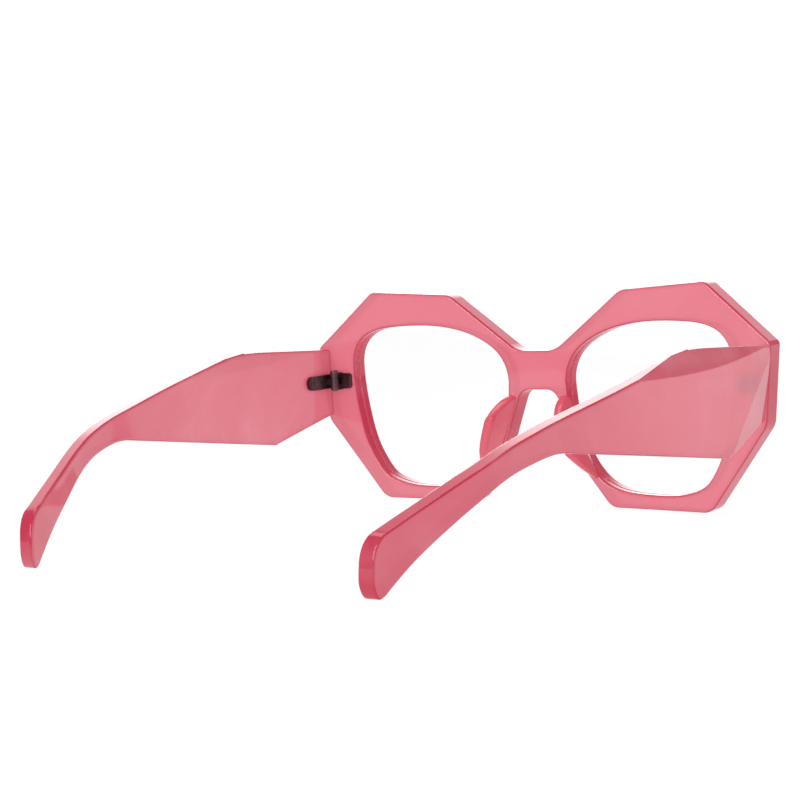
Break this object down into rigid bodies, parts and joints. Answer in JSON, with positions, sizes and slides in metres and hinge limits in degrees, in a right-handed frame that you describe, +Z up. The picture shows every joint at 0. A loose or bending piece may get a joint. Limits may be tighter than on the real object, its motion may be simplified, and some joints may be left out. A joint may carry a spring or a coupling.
{
  "type": "eyeglasses",
  "caption": "Geometric full-rim eyeglasses with clear lenses, bonded nose pads and faceted temples that fold on screwed hinges.",
  "frame": {"origin": "mid-plane of the glasses, on the back face of the bridge, at the height of the lens centre line", "axes": "+Z up, -Y the way the wearer looks, +Y along the open temples towards the ears, +X the wearer's left"},
  "size_m": [0.1458, 0.1451, 0.0591],
  "materials": {
    "frame_plastic": "polished milky translucent rose pink",
    "temple_plastic": "polished milky translucent rose pink",
    "pad_plastic": "polished milky translucent rose pink",
    "lens": "clear, polished",
    "hinge_metal": "dark plated",
    "screw_metal": "dark plated, slotted head"
  },
  "bodies": {
    "front": {"front_frame": "frame_plastic", "lens_left": "lens", "lens_right": "lens", "nose_pad_left": "pad_plastic", "nose_pad_right": "pad_plastic", "front_hinge_left": "hinge_metal", "front_hinge_right": "hinge_metal", "hinge_screw_left": "screw_metal", "hinge_screw_right": "screw_metal"},
    "temple_left": {"temple_left": "temple_plastic", "temple_hinge_left": "hinge_metal"},
    "temple_right": {"temple_right": "temple_plastic", "temple_hinge_right": "hinge_metal"}
  },
  "joints": [
    {"name": "temple_left_fold", "type": "hinge", "parent": "front", "child": "temple_left", "pos_m": [0.0656, 0.0066, 0.0087], "axis": [0, 0, 1], "range_deg": [0, 83]},
    {"name": "temple_right_fold", "type": "hinge", "parent": "front", "child": "temple_right", "pos_m": [-0.0656, 0.0066, 0.0087], "axis": [0, 0, -1], "range_deg": [0, 70]}
  ]
}
